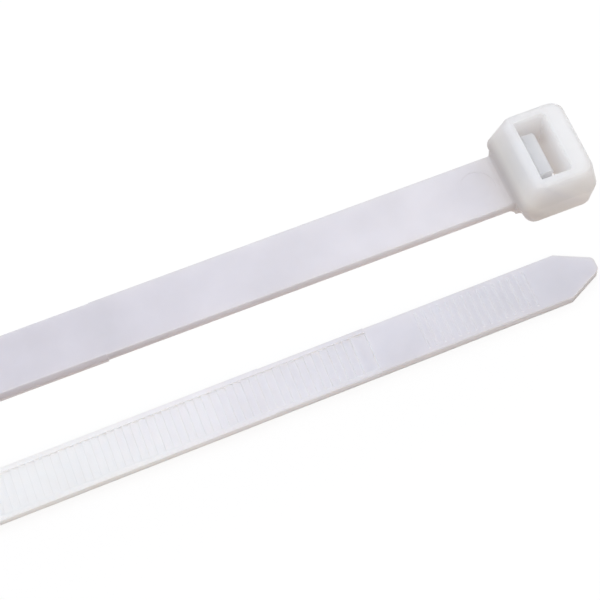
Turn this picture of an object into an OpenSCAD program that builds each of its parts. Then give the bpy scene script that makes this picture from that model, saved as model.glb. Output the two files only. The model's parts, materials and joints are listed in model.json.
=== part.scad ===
// A moulded nylon cable tie, bent into a hairpin with its head over its tail.
// X runs along the strap, Y across its width and Z up. The smooth face of the tail run lies on Z = 0.

/* [Strap] */
// Width of the strap over its parting line, in the toothed stretch
strap_w = 7.6; // [4.8:0.1:9]
// Thickness of the strap
strap_t = 1.78; // [1.4:0.02:2.2]
// How far each side edge slopes in from the parting line to the face
edge_draft = 0.18; // [0.05:0.01:0.3]
// How much each edge steps in where one mould insert meets the next
insert_step = 0.08; // [0.02:0.01:0.15]

/* [Bend] */
// Straight length from the tip of the tail to the bend
tail_run = 123; // [90:1:200]
// Straight length from the bend to the front wall of the head
head_run = 107.5; // [80:0.5:180]
// Radius of the bend, to the middle of the strap
bend_r = 18.8; // [10:0.1:40]
// Angle by which the head run closes on the tail run
closing = 1.5; // [0:0.25:4]

/* [Teeth] */
// Spacing of the rack teeth, the pawl teeth and the grip ridges
pitch = 1.15; // [0.8:0.05:1.6]
// Width of the plain edge beside the teeth
land_w = 0.7; // [0.4:0.05:1.5]
// Depth of the toothed channel
rack_depth = 0.4; // [0.3:0.05:0.7]
// Distance from the channel's floor to a tooth's crest
tooth_h = 0.3; // [0.2:0.05:0.6]
// Distance from the tip of the tail to the first tooth
rack_start = 33.4; // [28:0.1:60]
// Length of the plain strap between the last tooth and the head
rack_margin = 51; // [10:0.5:70]
// Distance from the tip of the tail to the middle insert step
mid_step_at = 48.9; // [40:0.1:80]

/* [Tail] */
// Length of the tapered tip
taper_len = 5.3; // [3:0.1:10]
// Width of the blunt end
tip_w = 2.5; // [1.5:0.1:3.5]
// How far the smooth face rises under the tip, so that it enters the channel easily
tip_rise = 0.25; // [0.1:0.05:0.5]
// Length of that rise
rise_len = 7; // [4:0.5:12]
// Number of grip ridges
ridge_count = 15; // [5:1:18]
// Distance from the tip to the first ridge
ridge_start = 9.9; // [7:0.1:12]
// Height of a grip ridge
ridge_h = 0.12; // [0.05:0.01:0.25]
// Width of a grip ridge at its foot
ridge_w = 0.45; // [0.3:0.05:0.7]
// Plain margin between a ridge's end and the strap's edge
ridge_margin = 0.7; // [0.3:0.05:1.5]

/* [Head] */
// Length of the head along the strap
head_len = 10.05; // [8.5:0.05:12]
// Width of the head
head_w = 11.3; // [9.5:0.1:14]
// Height of the head above the middle of the strap
head_up = 5.5; // [4.5:0.1:8]
// Depth of the head below the middle of the strap
head_down = 2.7; // [1.4:0.1:3]
// How far the front wall slopes back from the widest line to the bottom
chin_back = 1.3; // [0.8:0.1:4]
// Height of the head's widest line above the middle of the strap
widest_up = 1.3; // [0.9:0.1:4]
// How far the front wall leans back from the widest line to the rim
front_lean = 1.9; // [0.5:0.1:2.5]
// How far the side walls slope in from the widest line to the rim and to the bottom
side_draft = 0.35; // [0.1:0.05:0.8]
// How far the back of the head slopes in from the widest line to the rim
back_draft = 0.85; // [0.1:0.05:1]
// Radius of the head's upright corners at the front
front_r = 1.3; // [0.5:0.1:2.5]
// Radius of the head's upright corners at the back
back_r = 1.5; // [0.5:0.1:3]
// Radius of the head's rims
rim_r = 0.6; // [0.2:0.05:1]
// Radius of the fillets where the strap's faces run into the head
root_r = 0.9; // [0.3:0.1:1.5]
// Radius of the fillets where the strap's edges run into the head
neck_r = 0.6; // [0.2:0.1:1]

/* [Channel and pawl] */
// Thickness of the wall that the tail slides along
back_wall = 3.45; // [1.5:0.05:4]
// Room between the pawl's crests and the floor of the tail's rack
slide_gap = 0.1; // [0.05:0.01:0.4]
// Thickness of the pawl with the slot behind it
pawl_t = 2.2; // [1.5:0.05:2.6]
// Side clearance of the tail in the channel
side_gap = 0.05; // [0.05:0.01:0.4]
// Side clearance of the pawl in the tail's rack
pawl_gap = 0.15; // [0.1:0.05:0.5]
// Gap behind the pawl, which lets it bend back
pawl_slot = 0.25; // [0.15:0.05:0.6]
// Number of teeth on the pawl
pawl_teeth = 3; // [2:1:4]
// How far the pawl's end lies below the rim
pawl_drop = 1.3; // [0.6:0.1:2]
// Plain length of the pawl above its first tooth
pawl_lip = 0.5; // [0.3:0.1:1]
// How far the channel widens at its mouth, where the tail goes in
mouth_flare = 0.6; // [0.2:0.05:1]
// How far the channel is eased where the tail comes out
exit_flare = 0.25; // [0.1:0.05:0.6]

/* [Ejector mark] */
// Diameter of the round mark that the ejector pin leaves
mark_d = 4.5; // [2:0.1:5]
// Distance from the mark's centre to the head's front wall
mark_back = 3.3; // [2.6:0.1:6]
// Depth of the mark
mark_depth = 0.06; // [0.02:0.01:0.15]

/* [Hidden] */
$fn = 64;
nylon = [0.93, 0.92, 0.95];
arc_steps = 8;
overlap = 0.2;
foot_sink = 0.04;
plate_t = 0.02;
half_t = strap_t / 2;
tail_w = strap_w - 4 * insert_step;
mid_w = strap_w - 2 * insert_step;
smooth_w = tail_w - 2 * edge_draft;
rack_w = strap_w - 2 * (edge_draft + land_w);
floor_z = half_t - rack_depth;
bend_z = bend_r + half_t;
head_end = head_run + head_len;
rack_stop = head_run - rack_margin;
channel_back = head_len - back_wall;
pawl_crest = channel_back - half_t - floor_z - slide_gap;
channel_front = pawl_crest - pawl_t;
channel_w = strap_w + 2 * side_gap;
pawl_w = rack_w - 2 * pawl_gap;
pawl_top = head_up - pawl_drop;

// Where the bend stands, so that the part is centred over its origin
loop_left = bend_r + half_t;
head_right = bend_r * sin(closing) + head_end * cos(closing) + (head_up - rim_r) * sin(closing);
bend_x = (loop_left - max(tail_run, head_right)) / 2;

// Points of an arc about c, from angle a to angle b
function arc(c, r, a, b) =
    [for (i = [0:arc_steps]) let (t = a + (b - a) * i / arc_steps) c + r * [cos(t), sin(t)]];

// The strap's cross section: x is the width and y the thickness, with the inner face at the top.
// The smooth face below keeps one width, because only the toothed side has mould inserts.
module strap_section(w, channel = false) {
    half_w = w / 2;
    face = half_w - edge_draft;
    smooth = smooth_w / 2;
    half_c = rack_w / 2;
    inner = channel
        ? [[face, half_t], [half_c, half_t], [half_c, floor_z], [-half_c, floor_z], [-half_c, half_t], [-face, half_t]]
        : [[face, half_t], [-face, half_t]];
    polygon(concat([[half_w, 0]], inner, [[-half_w, 0], [-smooth, -half_t], [smooth, -half_t]]));
}

// A straight stretch of strap from x = a to x = b, with its inner face up
module strap_run(a, b, w, channel = false) {
    translate([a, 0, 0]) rotate([90, 0, 90]) linear_extrude(b - a) strap_section(w, channel);
}

// Puts the children on the tail run: x = 0 is its end at the bend, and its inner face is up
module on_tail_run() {
    translate([bend_x, 0, half_t]) children();
}

// Puts the children on the head run: x = 0 is its end at the bend, and its smooth face is up
module on_head_run() {
    translate([bend_x, 0, bend_z]) rotate([0, closing, 0]) translate([0, 0, bend_r]) children();
}

// One saw tooth of the rack as two points, from foot to crest or from crest to foot
function tooth_points(x, crest_first) =
    let (low = floor_z - foot_sink, high = floor_z + tooth_h)
    crest_first ? [[x, high], [x + pitch, low]] : [[x, low], [x + pitch, high]];

// The rack of a straight run: teeth from x = 0, whose steep sides all face away from the tail's tip
module rack_run(count, crest_first) {
    saw = [for (i = [0:count - 1]) each tooth_points(i * pitch, crest_first)];
    outline = concat([[-overlap, floor_z - overlap]], saw, [[count * pitch, floor_z - overlap]]);
    rotate([90, 0, 0])
        linear_extrude(rack_w + overlap, center = true) polygon(outline);
}

// The rack inside the bend, its teeth spread evenly over the whole turn
module rack_bend() {
    floor_r = bend_r - floor_z;
    turn = 180 + closing;
    count = round(turn * PI / 180 * floor_r / pitch);
    step = turn / count;
    crests = [for (i = [0:count - 1]) each [
        (floor_r - tooth_h) * [cos(i * step), sin(i * step)],
        (floor_r + foot_sink) * [cos((i + 1) * step), sin((i + 1) * step)]]];
    backs = [for (i = [count + 0.2, each [count - 1:-1:1], -0.2])
        (floor_r + overlap) * [cos(i * step), sin(i * step)]];
    linear_extrude(rack_w + overlap, center = true) polygon(concat(crests, backs));
}

// The bend, a half turn and a little more, with its rack on the inside
module bend() {
    translate([bend_x, 0, bend_z]) rotate([90, 0, 0]) rotate([0, 0, 90 - closing]) {
        rotate_extrude(angle = 180 + closing, $fn = 96)
            translate([bend_r, 0]) rotate(90) strap_section(strap_w, true);
        rack_bend();
    }
}

// Outline of the tapered tail in plan, from the bend's side to the blunt tip
module tail_outline() {
    half_w = tail_w / 2;
    half_tip = tip_w / 2;
    tip_r = half_tip * 0.6;
    polygon(concat(
        [[0, -half_w], [tail_run - taper_len, -half_w]],
        arc([tail_run - tip_r, -half_tip + tip_r], tip_r, -60, 0),
        arc([tail_run - tip_r, half_tip - tip_r], tip_r, 0, 60),
        [[tail_run - taper_len, half_w], [0, half_w]]));
}

// Outline of the tail from the side, with the smooth face rising under the tip
module tail_side() {
    polygon([[0, -strap_t], [0, strap_t], [tail_run, strap_t], [tail_run, tip_rise - half_t],
        [tail_run - rise_len, -half_t], [tail_run - rise_len, -strap_t]]);
}

// A row of low ridges for the fingers, across the inner face near the tip
module grip_ridges() {
    length = tail_w - 2 * edge_draft - 2 * ridge_margin;
    foot = ridge_w / 2;
    crest = ridge_w / 8;
    for (i = [0:ridge_count - 1])
        translate([tail_run - ridge_start - i * pitch, 0, half_t]) rotate([90, 0, 0])
            linear_extrude(length, center = true)
                polygon([[-foot, -overlap], [-foot, 0], [-crest, ridge_h], [crest, ridge_h], [foot, 0], [foot, -overlap]]);
}

// The tail run: plain tip with its ridges, then the toothed stretch up to the bend
module tail() {
    first_tooth = tail_run - rack_start;
    mid_step = tail_run - mid_step_at;
    on_tail_run() {
        intersection() {
            strap_run(first_tooth, tail_run + overlap, tail_w);
            linear_extrude(2 * strap_t, center = true) tail_outline();
            rotate([90, 0, 0]) linear_extrude(2 * strap_w, center = true) tail_side();
        }
        grip_ridges();
        strap_run(mid_step, first_tooth, mid_w, true);
        strap_run(-overlap, mid_step, strap_w, true);
        rack_run(floor(first_tooth / pitch), true);
    }
}

// The head run: toothed from the bend to the insert step, then plain up to the head
module head_strap() {
    on_head_run() {
        mirror([0, 0, 1]) {
            strap_run(-overlap, rack_stop, strap_w, true);
            rack_run(floor(rack_stop / pitch), false);
        }
        difference() {
            strap_run(rack_stop, head_run + front_r, mid_w);
            translate([head_run - mark_back, 0, half_t - mark_depth]) cylinder(d = mark_d, h = strap_t);
        }
    }
}

// A thin plate across the head at height z over the middle of the strap, its edge moved in at the rims
module head_plate(z, inset = 0) {
    up = z > widest_up;
    share = up ? (z - widest_up) / (head_up - widest_up) : (widest_up - z) / (widest_up + head_down);
    front = share * (up ? front_lean : chin_back) + inset;
    back = head_len - share * (up ? back_draft : side_draft) - inset;
    half_w = head_w / 2 - share * side_draft - inset;
    side = concat(
        arc([front + front_r, half_w - front_r], front_r, 180, 90),
        arc([back - back_r, half_w - back_r], back_r, 90, 0));
    translate([0, 0, up ? z - plate_t : z]) linear_extrude(plate_t)
        polygon(concat(side, [for (i = [len(side) - 1:-1:0]) [side[i][0], -side[i][1]]]));
}

// The head as a solid block: its walls slope both ways from the widest line and its rims are rounded
module head_block() {
    hull() {
        head_plate(widest_up);
        for (t = [0, 45, 90]) {
            head_plate(head_up - rim_r * (1 - sin(t)), rim_r * (1 - cos(t)));
            head_plate(rim_r * (1 - sin(t)) - head_down, rim_r * (1 - cos(t)));
        }
    }
}

// Where the strap runs into the head: fillets up the front wall, out to the sides and down below
module neck() {
    half_s = smooth_w / 2;
    lean = atan2(front_lean, head_up - widest_up);
    chin = atan2(widest_up + head_down, chin_back);
    wall_x = (widest_up + half_t) / tan(chin);
    side = concat([[-root_r - neck_r, half_s]], arc([-neck_r, half_s + neck_r], neck_r, -90, 0), [[front_r, half_s + neck_r]]);
    intersection() {
        linear_extrude(2 * head_up, center = true)
            polygon(concat(side, [for (i = [len(side) - 1:-1:0]) [side[i][0], -side[i][1]]]));
        rotate([90, 0, 0]) linear_extrude(head_w, center = true) polygon(concat(
            [[-root_r, -half_t], [-root_r, half_t]],
            arc([-root_r, half_t + root_r], root_r, -90, -lean),
            [[wall_x + root_r, half_t + root_r], [wall_x + root_r, -half_t - root_r]],
            arc([wall_x - root_r * tan(chin / 2), -half_t - root_r], root_r, 90 - chin, 90)));
    }
}

// A wedge in side view that widens a wall at x = 0 by the given amount, where y = 0 is the outside
module flare(size) {
    polygon([[-overlap, 2 * (size + overlap)], [size + overlap, -2 * overlap], [-overlap, -2 * overlap]]);
}

// The way through the head for the tail, flared at the mouth and eased at the exit
module channel() {
    half_c = channel_w / 2;
    length = channel_back - channel_front;
    translate([channel_front, -half_c, -head_up]) cube([length, channel_w, 3 * head_up]);
    translate([channel_back, 0, -head_down]) rotate([90, 0, 0])
        linear_extrude(channel_w, center = true) flare(mouth_flare);
    translate([channel_back, 0, head_up]) rotate([90, 0, 0])
        linear_extrude(channel_w, center = true) mirror([0, 1]) flare(exit_flare);
    for (side = [0, 1]) mirror([0, side, 0]) {
        translate([channel_front, half_c, -head_down]) rotate([90, 0, 90])
            linear_extrude(length) flare(mouth_flare);
        translate([channel_front, half_c, head_up]) rotate([90, 0, 90])
            linear_extrude(length) mirror([0, 1]) flare(exit_flare);
    }
}

// The pawl: a sprung tongue rooted low in the front wall. The steep sides of its teeth face up,
// so that the tail slides in and can't come back.
module pawl() {
    back = channel_front + pawl_slot;
    root = pawl_crest - tooth_h;
    root_z = mouth_flare - head_down;
    ease = pawl_lip / 2;
    teeth = [for (i = [0:pawl_teeth - 1]) let (z = pawl_top - pawl_lip - i * pitch) each [[root, z], [pawl_crest, z]]];
    outline = concat(
        [[back, pawl_top - ease], [back + ease, pawl_top], [root, pawl_top]],
        teeth,
        [[root, pawl_top - pawl_lip - pawl_teeth * pitch], [(back + root) / 2, root_z],
            [channel_front - overlap, root_z], [channel_front - overlap, half_t], [back, half_t + ease]]);
    rotate([90, 0, 0]) linear_extrude(pawl_w, center = true) polygon(outline);
}

// The head at the end of its run, with the channel through it and the pawl inside
module head() {
    on_head_run() translate([head_run, 0, 0]) {
        difference() {
            union() {
                head_block();
                neck();
            }
            channel();
        }
        pawl();
    }
}

module cable_tie() {
    color(nylon) {
        tail();
        bend();
        head_strap();
        head();
    }
}

cable_tie();
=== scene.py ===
import bpy
import json
from math import radians, sin, cos
from mathutils import Vector, Matrix


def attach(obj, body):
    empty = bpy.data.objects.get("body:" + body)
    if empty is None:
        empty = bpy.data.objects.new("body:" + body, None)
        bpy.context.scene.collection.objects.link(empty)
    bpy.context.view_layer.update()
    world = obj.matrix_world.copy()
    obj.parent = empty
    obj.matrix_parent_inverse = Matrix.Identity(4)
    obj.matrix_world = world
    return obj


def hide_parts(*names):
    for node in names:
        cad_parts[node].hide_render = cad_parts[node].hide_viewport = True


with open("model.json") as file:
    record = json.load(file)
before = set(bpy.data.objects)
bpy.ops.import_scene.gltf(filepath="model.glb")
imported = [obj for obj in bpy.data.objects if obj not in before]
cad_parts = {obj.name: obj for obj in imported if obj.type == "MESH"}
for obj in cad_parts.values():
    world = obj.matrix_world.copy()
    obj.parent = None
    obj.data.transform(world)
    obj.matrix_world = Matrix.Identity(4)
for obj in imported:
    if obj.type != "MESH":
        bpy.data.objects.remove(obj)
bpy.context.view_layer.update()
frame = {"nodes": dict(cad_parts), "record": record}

mm = 0.001


# small helpers
def selectOnly(piece):
    bpy.ops.object.select_all(action="DESELECT")
    piece.select_set(True)
    bpy.context.view_layer.objects.active = piece


def addModifier(piece, kind, values):
    mod = piece.modifiers.new(kind.title(), kind)
    for name, value in values.items():
        setattr(mod, name, value)
    selectOnly(piece)
    bpy.ops.object.modifier_apply(modifier=mod.name)


def setInputs(node, values):
    for name, value in values.items():
        node.inputs[name].default_value = value


def calc(tree, operation, *values):
    # a math node on sockets and plain numbers
    node = tree.nodes.new("ShaderNodeMath")
    node.operation = operation
    for socket, value in zip(node.inputs, values):
        if isinstance(value, bpy.types.NodeSocket):
            tree.links.new(value, socket)
        else:
            socket.default_value = value
    return node.outputs[0]


# natural nylon, milky and a little translucent; light and shade are painted into its colour along the
# tie
nylonLook = {
    # painted light and shade at places along X, in mm: pale at the tail's end, darker towards the
    # head
    "toothedRunLightAndShade": [
        (-12, (0.99, 0.98, 1.0)),
        (5, (0.90, 0.88, 0.92)),
        (14, (0.83, 0.81, 0.86)),
        (26, (0.78, 0.765, 0.82)),
        (36, (0.73, 0.72, 0.78)),
        (54, (0.71, 0.70, 0.75)),
        (70, (0.63, 0.62, 0.67)),
    ],
    # painted light and shade at places along X plus a share of Z, in mm: painted shade darkens and
    # warms the head towards its foot and front, a painted highlight whitens its top rim
    "headRunLightAndShade": [
        (28, (0.58, 0.57, 0.62)),
        (51, (0.65, 0.64, 0.69)),
        (75, (0.68, 0.67, 0.71)),
        (82, (0.65, 0.64, 0.68)),
        (86.5, (0.59, 0.57, 0.57)),
        (88, (0.79, 0.775, 0.755)),
        (90, (0.82, 0.80, 0.80)),
        (92, (0.84, 0.83, 0.87)),
        (93.5, (1.0, 1.0, 1.0)),
    ],
    "headShadeTilt": 0.8,
    "runSplit": (8, 24),  # mm of Z between the two runs
    # painted light: the pale colour the hollows are painted
    "paintedHollowLight": (1.0, 0.99, 1.0),
    "hollowReach": 4 * mm,
    "hollowSamples": 24,
    "neckBehind": (44, 50),  # mm of X where the painted light in the hollows fades out
    "neckAhead": (57.6, 59.2),  # and where it comes back
    "cloud": 0.05,
    "cloudScale": 120,
    "cloudDetail": 3,
    "cloudRange": (0.3, 0.7),
    "roughness": 0.38,
    "ior": 1.53,
    "scatter": 1.0,
    "scatterRadius": (1.0, 0.92, 0.86),
    "tailScatter": 2.2 * mm,
    "runScatter": 3 * mm,
    "headScatter": 12 * mm,
    "headFrom": (54, 60),  # mm of X where strap turns into head
    "grainScale": 2600,
    "grainDetail": 2,
    "grainDepth": 0.01 * mm,
    "grainStrength": 0.3,
}


def makeRamp(tree, places, source):
    # colours at places along the tie, in mm
    nodes, links = tree.nodes, tree.links
    low, high = places[0][0], places[-1][0]
    span = nodes.new("ShaderNodeMapRange")
    setInputs(span, {"From Min": low * mm, "From Max": high * mm})
    links.new(source, span.inputs["Value"])
    ramp = nodes.new("ShaderNodeValToRGB")
    links.new(span.outputs["Result"], ramp.inputs["Fac"])
    stops = ramp.color_ramp.elements
    while len(stops) < len(places):
        stops.new(0.5)
    for stop, (place, color) in zip(stops, places):
        stop.position = (place - low) / (high - low)
        stop.color = (*color, 1)
    return ramp.outputs["Color"]


def mixColors(tree, factor, first, second):
    mix = tree.nodes.new("ShaderNodeMix")
    mix.data_type = "RGBA"
    # a mix node's colour sockets share their names with its number sockets
    for socket, source in ((0, factor), (6, first), (7, second)):
        tree.links.new(source, mix.inputs[socket])
    return mix.outputs[2]


def makeNylon(look):
    mat = bpy.data.materials.new("naturalNylon")
    mat.use_nodes = True
    tree = mat.node_tree
    nodes, links = tree.nodes, tree.links
    shader = nodes["Principled BSDF"]
    coords = nodes.new("ShaderNodeTexCoord")
    axes = nodes.new("ShaderNodeSeparateXYZ")
    links.new(coords.outputs["Object"], axes.inputs[0])
    # painted light and shade: the strap's and the head's colours follow how light falls along the tie
    toothed = makeRamp(tree, look["toothedRunLightAndShade"], axes.outputs["X"])
    slant = calc(tree, "MULTIPLY_ADD", axes.outputs["Z"], look["headShadeTilt"], axes.outputs["X"])
    headed = makeRamp(tree, look["headRunLightAndShade"], slant)
    split = nodes.new("ShaderNodeMapRange")
    setInputs(split, {"From Min": look["runSplit"][0] * mm, "From Max": look["runSplit"][1] * mm})
    links.new(axes.outputs["Z"], split.inputs["Value"])
    run = mixColors(tree, split.outputs["Result"], toothed, headed)
    # faint clouds in the moulding, and a fine grain on its skin
    clouds = nodes.new("ShaderNodeTexNoise")
    setInputs(clouds, {"Scale": look["cloudScale"], "Detail": look["cloudDetail"]})
    links.new(coords.outputs["Object"], clouds.inputs["Vector"])
    level = nodes.new("ShaderNodeMapRange")
    setInputs(level, {"From Min": look["cloudRange"][0], "From Max": look["cloudRange"][1],
                      "To Min": 1 - look["cloud"], "To Max": 1 + look["cloud"]})
    links.new(clouds.outputs["Fac"], level.inputs["Value"])
    shade = nodes.new("ShaderNodeVectorMath")
    shade.operation = "SCALE"
    links.new(run, shade.inputs[0])
    links.new(level.outputs["Result"], shade.inputs["Scale"])
    # painted light: the hollows are painted pale, standing in for light that seeps through the walls,
    # but not where the strap meets the head
    openness = nodes.new("ShaderNodeAmbientOcclusion")
    openness.samples = look["hollowSamples"]
    setInputs(openness, {"Distance": look["hollowReach"]})
    hollowLightColor = nodes.new("ShaderNodeRGB")
    hollowLightColor.outputs[0].default_value = (*look["paintedHollowLight"], 1)
    atNeck = split.outputs["Result"]
    for places, ends in ((look["neckBehind"], (0, 1)), (look["neckAhead"], (1, 0))):
        fade = nodes.new("ShaderNodeMapRange")
        setInputs(fade, {"From Min": places[0] * mm, "From Max": places[1] * mm,
                         "To Min": ends[0], "To Max": ends[1]})
        links.new(axes.outputs["X"], fade.inputs["Value"])
        atNeck = calc(tree, "MULTIPLY", atNeck, fade.outputs["Result"])
    closedIn = calc(tree, "SUBTRACT", 1.0, openness.outputs["AO"])
    paintedHollowLight = calc(tree, "MULTIPLY", closedIn, calc(tree, "SUBTRACT", 1.0, atNeck))
    withHollowLight = mixColors(tree, paintedHollowLight, shade.outputs["Vector"], hollowLightColor.outputs[0])
    links.new(withHollowLight, shader.inputs["Base Color"])
    # light spreads further in the thick head than in the strap
    thick = nodes.new("ShaderNodeMapRange")
    setInputs(thick, {"From Min": look["headFrom"][0] * mm, "From Max": look["headFrom"][1] * mm,
                      "To Min": look["runScatter"], "To Max": look["headScatter"]})
    links.new(axes.outputs["X"], thick.inputs["Value"])
    spread = nodes.new("ShaderNodeMapRange")
    setInputs(spread, {"From Min": look["runSplit"][0] * mm, "From Max": look["runSplit"][1] * mm,
                       "To Min": look["tailScatter"]})
    links.new(axes.outputs["Z"], spread.inputs["Value"])
    links.new(thick.outputs["Result"], spread.inputs["To Max"])
    links.new(spread.outputs["Result"], shader.inputs["Subsurface Scale"])
    grain = nodes.new("ShaderNodeTexNoise")
    setInputs(grain, {"Scale": look["grainScale"], "Detail": look["grainDetail"]})
    links.new(coords.outputs["Object"], grain.inputs["Vector"])
    bump = nodes.new("ShaderNodeBump")
    setInputs(bump, {"Strength": look["grainStrength"], "Distance": look["grainDepth"]})
    links.new(grain.outputs["Fac"], bump.inputs["Height"])
    links.new(bump.outputs["Normal"], shader.inputs["Normal"])
    setInputs(shader, {
        "Roughness": look["roughness"],
        "IOR": look["ior"],
        "Subsurface Weight": look["scatter"],
        "Subsurface Radius": look["scatterRadius"],
    })
    return mat


nylon = makeNylon(nylonLook)

# the tie, a copy of the CAD node with its edges eased
tieFinish = {
    "weld": 0.01 * mm,
    "flat": 0.5,  # degrees
    "edge": 0.05 * mm,
    "edgeSegments": 2,
    "edgeAngle": 32,
    "smooth": 40,
    "normalWeight": 50,
    # the neck's fillet, measured from the front wall at the middle of the strap
    "slotToFront": 5.71 * mm,
    "rimUp": 5.5 * mm,
    "filletTop": (1.0 * mm, 1.44 * mm),
    "filletEnd": (-0.6 * mm, -0.03 * mm),
    "filletHalf": 3.9 * mm,
    "filletBack": 0.13 * mm,
}


def easeNeck(tie, finish):
    # the fillet between strap and head ends a hair in front of the wall: it is pushed back onto it
    channel = next(m for m in frame["record"]["mounts"] if m["name"] == "channel")
    up = Vector(channel["axis"])
    along = Vector((up.z, 0, -up.x))
    front = Vector(channel["pos_m"]) - along * finish["slotToFront"] - up * finish["rimUp"]
    bpy.ops.mesh.select_all(action="DESELECT")
    bpy.ops.object.mode_set(mode="OBJECT")
    for point in tie.data.vertices:
        place = point.co - front
        atTop = finish["filletTop"][0] < place.dot(up) < finish["filletTop"][1]
        atEnd = finish["filletEnd"][0] < place.dot(along) < finish["filletEnd"][1]
        point.select = atTop and atEnd and abs(place.y) < finish["filletHalf"]
    print("neck", sum(point.select for point in tie.data.vertices), "points eased")
    bpy.ops.object.mode_set(mode="EDIT")
    bpy.ops.transform.translate(value=along * finish["filletBack"])


def makeTie(finish):
    node = frame["nodes"]["cable_tie"]
    tie = node.copy()
    tie.data = node.data.copy()
    for key in [k for k in tie.keys() if k.startswith("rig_")]:
        del tie[key]
    tie.parent = None
    tie.name = "tie"
    bpy.context.scene.collection.objects.link(tie)
    selectOnly(tie)
    bpy.ops.object.mode_set(mode="EDIT")
    bpy.ops.mesh.select_all(action="SELECT")
    bpy.ops.mesh.remove_doubles(threshold=finish["weld"])
    easeNeck(tie, finish)
    bpy.ops.mesh.select_all(action="SELECT")
    bpy.ops.mesh.dissolve_limited(angle_limit=radians(finish["flat"]))
    bpy.ops.mesh.normals_make_consistent(inside=False)
    bpy.ops.object.mode_set(mode="OBJECT")
    if tie.data.has_custom_normals:
        bpy.ops.mesh.customdata_custom_splitnormals_clear()
    addModifier(tie, "BEVEL", {
        "width": finish["edge"],
        "segments": finish["edgeSegments"],
        "limit_method": "ANGLE",
        "angle_limit": radians(finish["edgeAngle"]),
        "use_clamp_overlap": True,
        "harden_normals": False,
    })
    selectOnly(tie)
    bpy.ops.object.shade_smooth_by_angle(angle=radians(finish["smooth"]))
    addModifier(tie, "WEIGHTED_NORMAL", {"keep_sharp": True, "weight": finish["normalWeight"]})
    tie.data.materials.clear()
    tie.data.materials.append(nylon)
    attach(tie, "root")
    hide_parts("cable_tie")
    return tie


tie = makeTie(tieFinish)
print("tie", len(tie.data.polygons), "faces")

# floor, sky and lamps
stageLook = {
    "size": 3,
    "shadowShare": 0.15,
    "seenFloor": (1, 1, 1, 1),
    "warmFloor": (0.50, 0.41, 0.35, 1),
    "skyLow": 0.1,
    "skyHigh": 1.57,
    "skyTurn": (-0.8, 0.2),  # from front to back, along Y
    "skyBack": (0.90, 0.94, 1.0, 1),
    "skyFront": (1.0, 0.93, 0.86, 1),
}


def seenFactor(tree):
    # 1 for the camera, for reflections and for what is seen through a surface
    path = tree.nodes.new("ShaderNodeLightPath")
    seen = path.outputs["Is Camera Ray"]
    for name in ("Is Glossy Ray", "Is Transmission Ray"):
        seen = calc(tree, "MAXIMUM", seen, path.outputs[name])
    return seen


def whiteToCamera(tree, seen, lit, white, out, share):
    # the camera sees white, with a share of the lit surface that keeps the shadow
    nodes, links = tree.nodes, tree.links
    setInputs(white, {"Color": (1, 1, 1, 1), "Strength": 1})
    level = calc(tree, "MULTIPLY", seen, 1 - share)
    mix = nodes.new("ShaderNodeMixShader")
    links.new(level, mix.inputs[0])
    links.new(lit.outputs[0], mix.inputs[1])
    links.new(white.outputs[0], mix.inputs[2])
    links.new(mix.outputs[0], out.inputs["Surface"])


def makeFloor(look):
    bpy.ops.object.select_all(action="DESELECT")
    bpy.ops.mesh.primitive_plane_add(size=look["size"], location=(0, 0, 0))
    floor = bpy.context.object
    floor.name = "floor"
    mat = bpy.data.materials.new("whiteFloor")
    mat.use_nodes = True
    tree = mat.node_tree
    tree.nodes.remove(tree.nodes["Principled BSDF"])
    seen = seenFactor(tree)
    # the bounce off the floor is warm
    lit = tree.nodes.new("ShaderNodeBsdfDiffuse")
    warm = tree.nodes.new("ShaderNodeRGB")
    warm.outputs[0].default_value = look["warmFloor"]
    plain = tree.nodes.new("ShaderNodeRGB")
    plain.outputs[0].default_value = look["seenFloor"]
    color = mixColors(tree, seen, warm.outputs[0], plain.outputs[0])
    tree.links.new(color, lit.inputs["Color"])
    white = tree.nodes.new("ShaderNodeEmission")
    whiteToCamera(tree, seen, lit, white, tree.nodes["Material Output"], look["shadowShare"])
    floor.data.materials.append(mat)


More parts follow.
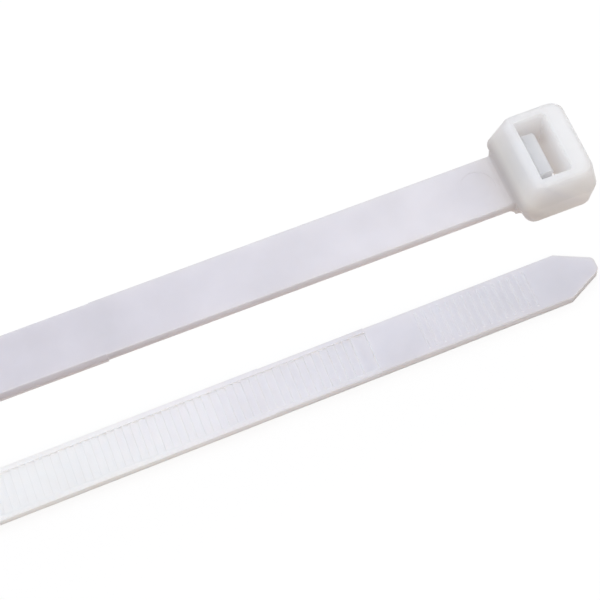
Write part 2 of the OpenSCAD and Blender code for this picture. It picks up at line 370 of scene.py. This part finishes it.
def makeWorld(look):
    # cool light from above and behind, warm and dimmer light from the front
    world = bpy.data.worlds.new("studio")
    world.use_nodes = True
    bpy.context.scene.world = world
    tree = world.node_tree
    nodes, links = tree.nodes, tree.links
    coords = nodes.new("ShaderNodeTexCoord")
    axes = nodes.new("ShaderNodeSeparateXYZ")
    links.new(coords.outputs["Generated"], axes.inputs[0])
    turn = nodes.new("ShaderNodeMapRange")
    setInputs(turn, {"From Min": look["skyTurn"][0], "From Max": look["skyTurn"][1]})
    links.new(axes.outputs["Y"], turn.inputs["Value"])
    front = nodes.new("ShaderNodeRGB")
    front.outputs[0].default_value = look["skyFront"]
    back = nodes.new("ShaderNodeRGB")
    back.outputs[0].default_value = look["skyBack"]
    sky = mixColors(tree, turn.outputs["Result"], front.outputs[0], back.outputs[0])
    height = nodes.new("ShaderNodeMapRange")
    setInputs(height, {"To Min": look["skyLow"], "To Max": look["skyHigh"]})
    links.new(axes.outputs["Z"], height.inputs["Value"])
    lit = nodes["Background"]
    links.new(sky, lit.inputs["Color"])
    links.new(height.outputs["Result"], lit.inputs["Strength"])
    white = nodes.new("ShaderNodeBackground")
    whiteToCamera(tree, seenFactor(tree), lit, white, nodes["World Output"], 0)


def makeLamp(name, look):
    data = bpy.data.lights.new(name, "AREA")
    data.shape = "RECTANGLE"
    data.size, data.size_y = look["size"]
    data.energy = look["power"]
    data.color = look["color"]
    lamp = bpy.data.objects.new(name, data)
    lamp.location = Vector(look["place"])
    lamp.rotation_euler = (Vector(look["aim"]) - lamp.location).to_track_quat("-Z", "Y").to_euler()
    bpy.context.scene.collection.objects.link(lamp)


lamps = {
    "softbox": {
        "place": (-0.1, 0.3, 0.8),
        "aim": (0, 0, 0),
        "size": (0.8, 0.6),
        "power": 1,
        "color": (0.96, 0.98, 1),
    },
}
makeFloor(stageLook)
makeWorld(stageLook)
for lampName, lampLook in lamps.items():
    makeLamp(lampName, lampLook)
print("stage and lamps")

# camera, with its place in mm and its angles in degrees
view = {
    "place": (12.37, -87.48, 212.98),
    "azimuth": -11.04,
    "elevation": 64.6,
    "roll": -11.02,
    "lens": 100.8,
    "sensor": 36,
}


def makeCamera(view):
    az, el, roll = (radians(view[name]) for name in ("azimuth", "elevation", "roll"))
    back = Vector((sin(az) * cos(el), -cos(az) * cos(el), sin(el)))
    level = Vector((cos(az), sin(az), 0))
    right = level * cos(roll) + back.cross(level) * sin(roll)
    data = bpy.data.cameras.new("camera")
    data.lens = view["lens"]
    data.sensor_width = view["sensor"]
    camera = bpy.data.objects.new("camera", data)
    place = Vector(view["place"]) * mm
    turn = Matrix((right, back.cross(right), back)).transposed()
    camera.matrix_world = Matrix.Translation(place) @ turn.to_4x4()
    bpy.context.scene.collection.objects.link(camera)
    bpy.context.scene.camera = camera


makeCamera(view)
bpy.context.scene.view_settings.view_transform = "Standard"
print("camera")
